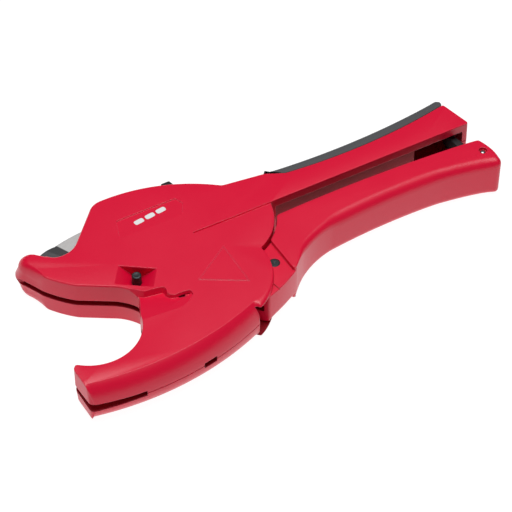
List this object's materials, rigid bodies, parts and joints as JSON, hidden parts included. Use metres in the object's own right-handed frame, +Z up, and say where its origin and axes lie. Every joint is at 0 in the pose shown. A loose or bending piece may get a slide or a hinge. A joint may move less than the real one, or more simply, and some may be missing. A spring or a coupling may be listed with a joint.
{
  "type": "plastic pipe shears",
  "caption": "One-hand ratchet shears for plastic pipe: hooked head with a round seat, swinging blade, and two long handles.",
  "frame": {"origin": "on the resting face, under the main pivot", "axes": "+X from the pivot to the ends of the handles, +Y towards the fixed handle, +Z up out of the flat side"},
  "size_m": [0.2258, 0.1041, 0.0213],
  "materials": {
    "upper_shell": "satin gloss powder coat",
    "lower_shell": "satin gloss powder coat",
    "grip_insert": "matt",
    "case_screws": "blackened",
    "main_pivot_pin": "ground",
    "pivot_washers": "natural",
    "blade": "satin ground",
    "blade_bush": "turned",
    "blade_spring": "bright wire",
    "moving_handle": "satin gloss powder coat",
    "drive_pawl": "hardened",
    "drive_pawl_pin": "blackened",
    "drive_pawl_spring": "bright wire",
    "handle_spring": "bright wire",
    "release_lever": "hardened",
    "release_button": "matt",
    "release_pin": "ground",
    "release_spring": "bright wire",
    "lock_button": "dark satin",
    "latch": "matt",
    "latch_pin": "satin"
  },
  "bodies": {
    "case": {"upper_shell": "upper_shell", "lower_shell": "lower_shell", "grip_insert": "grip_insert", "case_screws": "case_screws", "main_pivot_pin": "main_pivot_pin", "release_pin": "release_pin", "release_spring": "release_spring", "blade_spring": "blade_spring"},
    "handle": {"moving_handle": "moving_handle", "pivot_washers": "pivot_washers", "drive_pawl_pin": "drive_pawl_pin", "drive_pawl_spring": "drive_pawl_spring", "handle_spring": "handle_spring", "latch_pin": "latch_pin"},
    "blade": {"blade": "blade", "blade_bush": "blade_bush"},
    "drive_pawl": {"drive_pawl": "drive_pawl"},
    "release": {"release_lever": "release_lever", "release_button": "release_button"},
    "lock": {"lock_button": "lock_button"},
    "latch": {"latch": "latch"}
  },
  "joints": [
    {"name": "handle_hinge", "type": "hinge", "parent": "case", "child": "handle", "pos_m": [0, 0, 0.0105], "axis": [0, 0, 1], "range_deg": [-16, 0]},
    {"name": "blade_hinge", "type": "hinge", "parent": "case", "child": "blade", "pos_m": [0, 0, 0.0105], "axis": [0, 0, 1], "range_deg": [0, 65]},
    {"name": "drive_pawl_hinge", "type": "hinge", "parent": "handle", "child": "drive_pawl", "pos_m": [0.0318, -0.008, 0.0105], "axis": [0, 0, 1], "range_deg": [-12, 0], "stiffness_Nm_per_rad": 0.02},
    {"name": "release_hinge", "type": "hinge", "parent": "case", "child": "release", "pos_m": [0.03, 0.018, 0.0105], "axis": [0, 0, 1], "range_deg": [-8, 0], "stiffness_Nm_per_rad": 0.1},
    {"name": "lock_slide", "type": "slide", "parent": "case", "child": "lock", "axis": [0, 0, -1], "range_m": [0, 0.0022]},
    {"name": "latch_hinge", "type": "hinge", "parent": "handle", "child": "latch", "pos_m": [0.149, 0.0023, 0.0105], "axis": [0, 0, 1], "range_deg": [-5, 70]}
  ]
}
